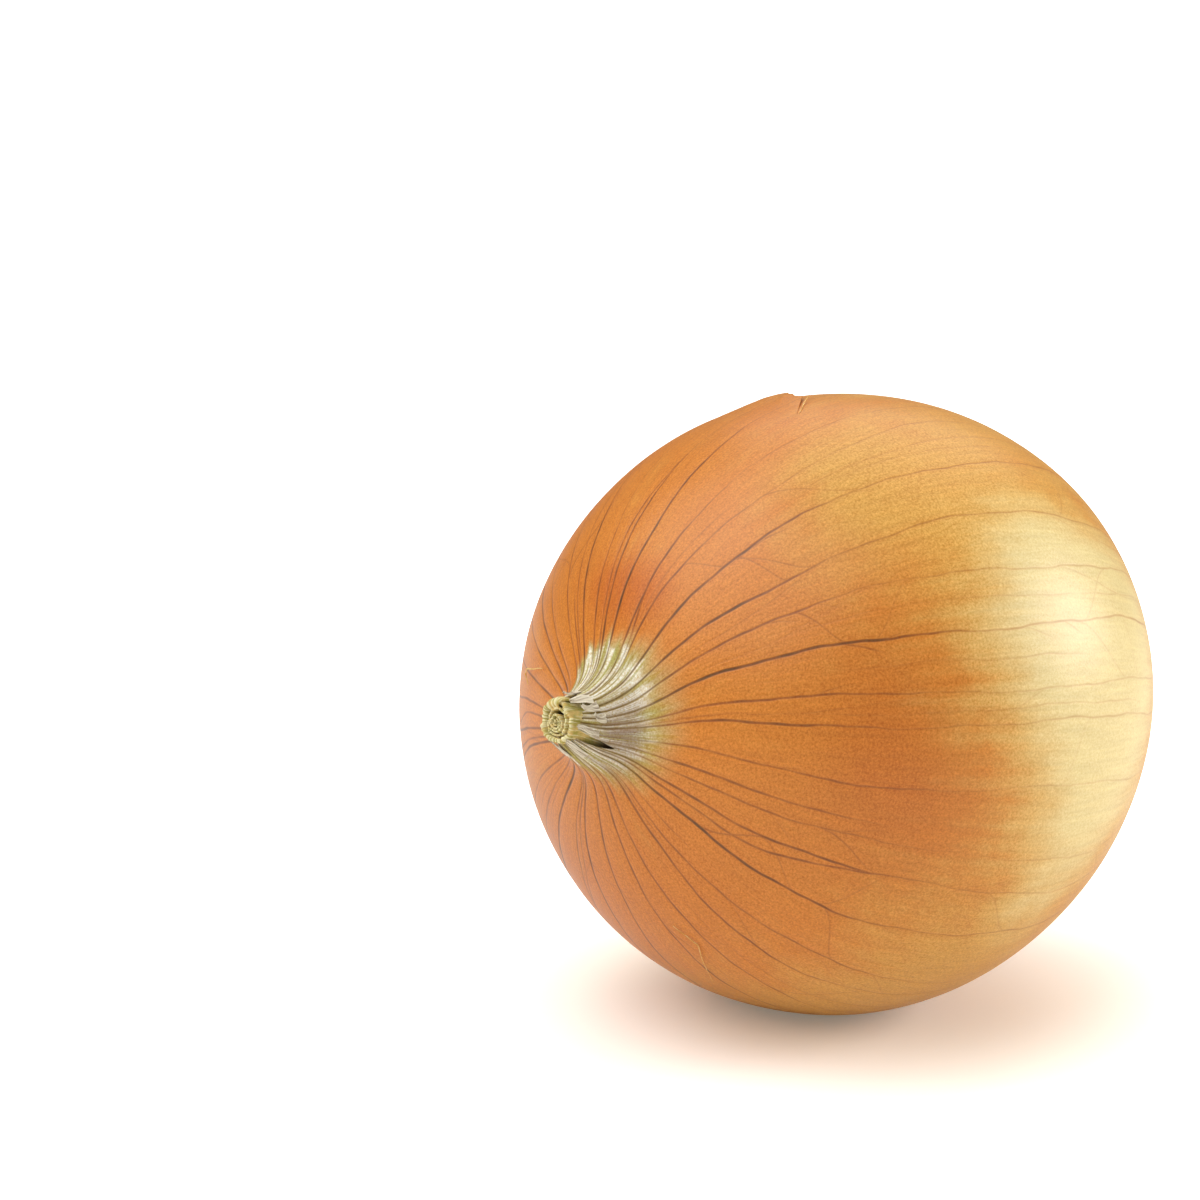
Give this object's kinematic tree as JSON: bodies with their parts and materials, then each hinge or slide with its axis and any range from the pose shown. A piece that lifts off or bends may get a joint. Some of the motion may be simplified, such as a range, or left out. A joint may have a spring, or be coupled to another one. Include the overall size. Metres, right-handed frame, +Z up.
{
  "type": "onion",
  "caption": "Whole dry-skinned onion lying on its side, with a short cut neck and trimmed roots.",
  "frame": {"origin": "centre of the flat spot under the bulb, on which the onion rests", "axes": "+Z is up; the neck points towards -X and a little up, and the root end towards +X"},
  "size_m": [0.0915, 0.08, 0.0787],
  "materials": {
    "bulb": "dry papery skin with a satin sheen, orange to golden yellow with brown veins",
    "neck_leaves": "matt greenish straw, ribbed and cut across",
    "root_tuft": "matt corky tan, with dry wiry roots"
  },
  "bodies": {
    "root": {"bulb": "bulb", "neck_leaves": "neck_leaves", "root_tuft": "root_tuft"}
  },
  "joints": []
}
